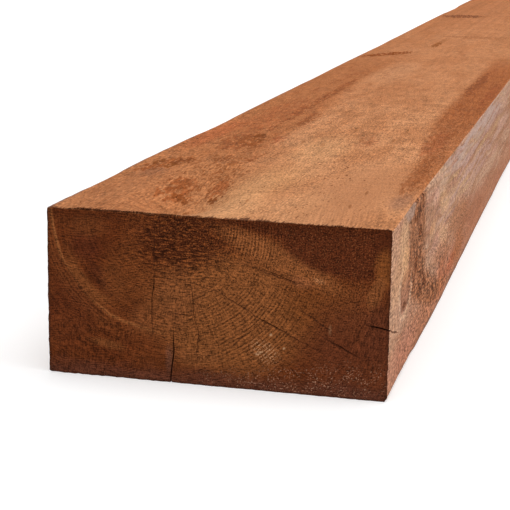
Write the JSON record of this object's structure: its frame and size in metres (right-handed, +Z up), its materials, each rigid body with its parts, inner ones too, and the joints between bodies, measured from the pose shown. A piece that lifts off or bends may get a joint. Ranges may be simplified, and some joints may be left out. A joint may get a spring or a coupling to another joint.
{
  "type": "railway sleeper",
  "caption": "Solid rectangular length of sawn, brown-stained softwood with square ends, waney and knocked arrises and drying checks in its end grain.",
  "frame": {"origin": "middle of the bed, the lowest face, on the level that the sleeper lies on", "axes": "+X along the length away from the near end, +Y towards the left side as seen from the near end, +Z up through the thickness"},
  "size_m": [2.4, 0.2, 0.098],
  "materials": {
    "treated_softwood": "rough sawn, brown preservative soaked in, matt"
  },
  "bodies": {
    "root": {"sleeper": "treated_softwood"}
  },
  "joints": []
}
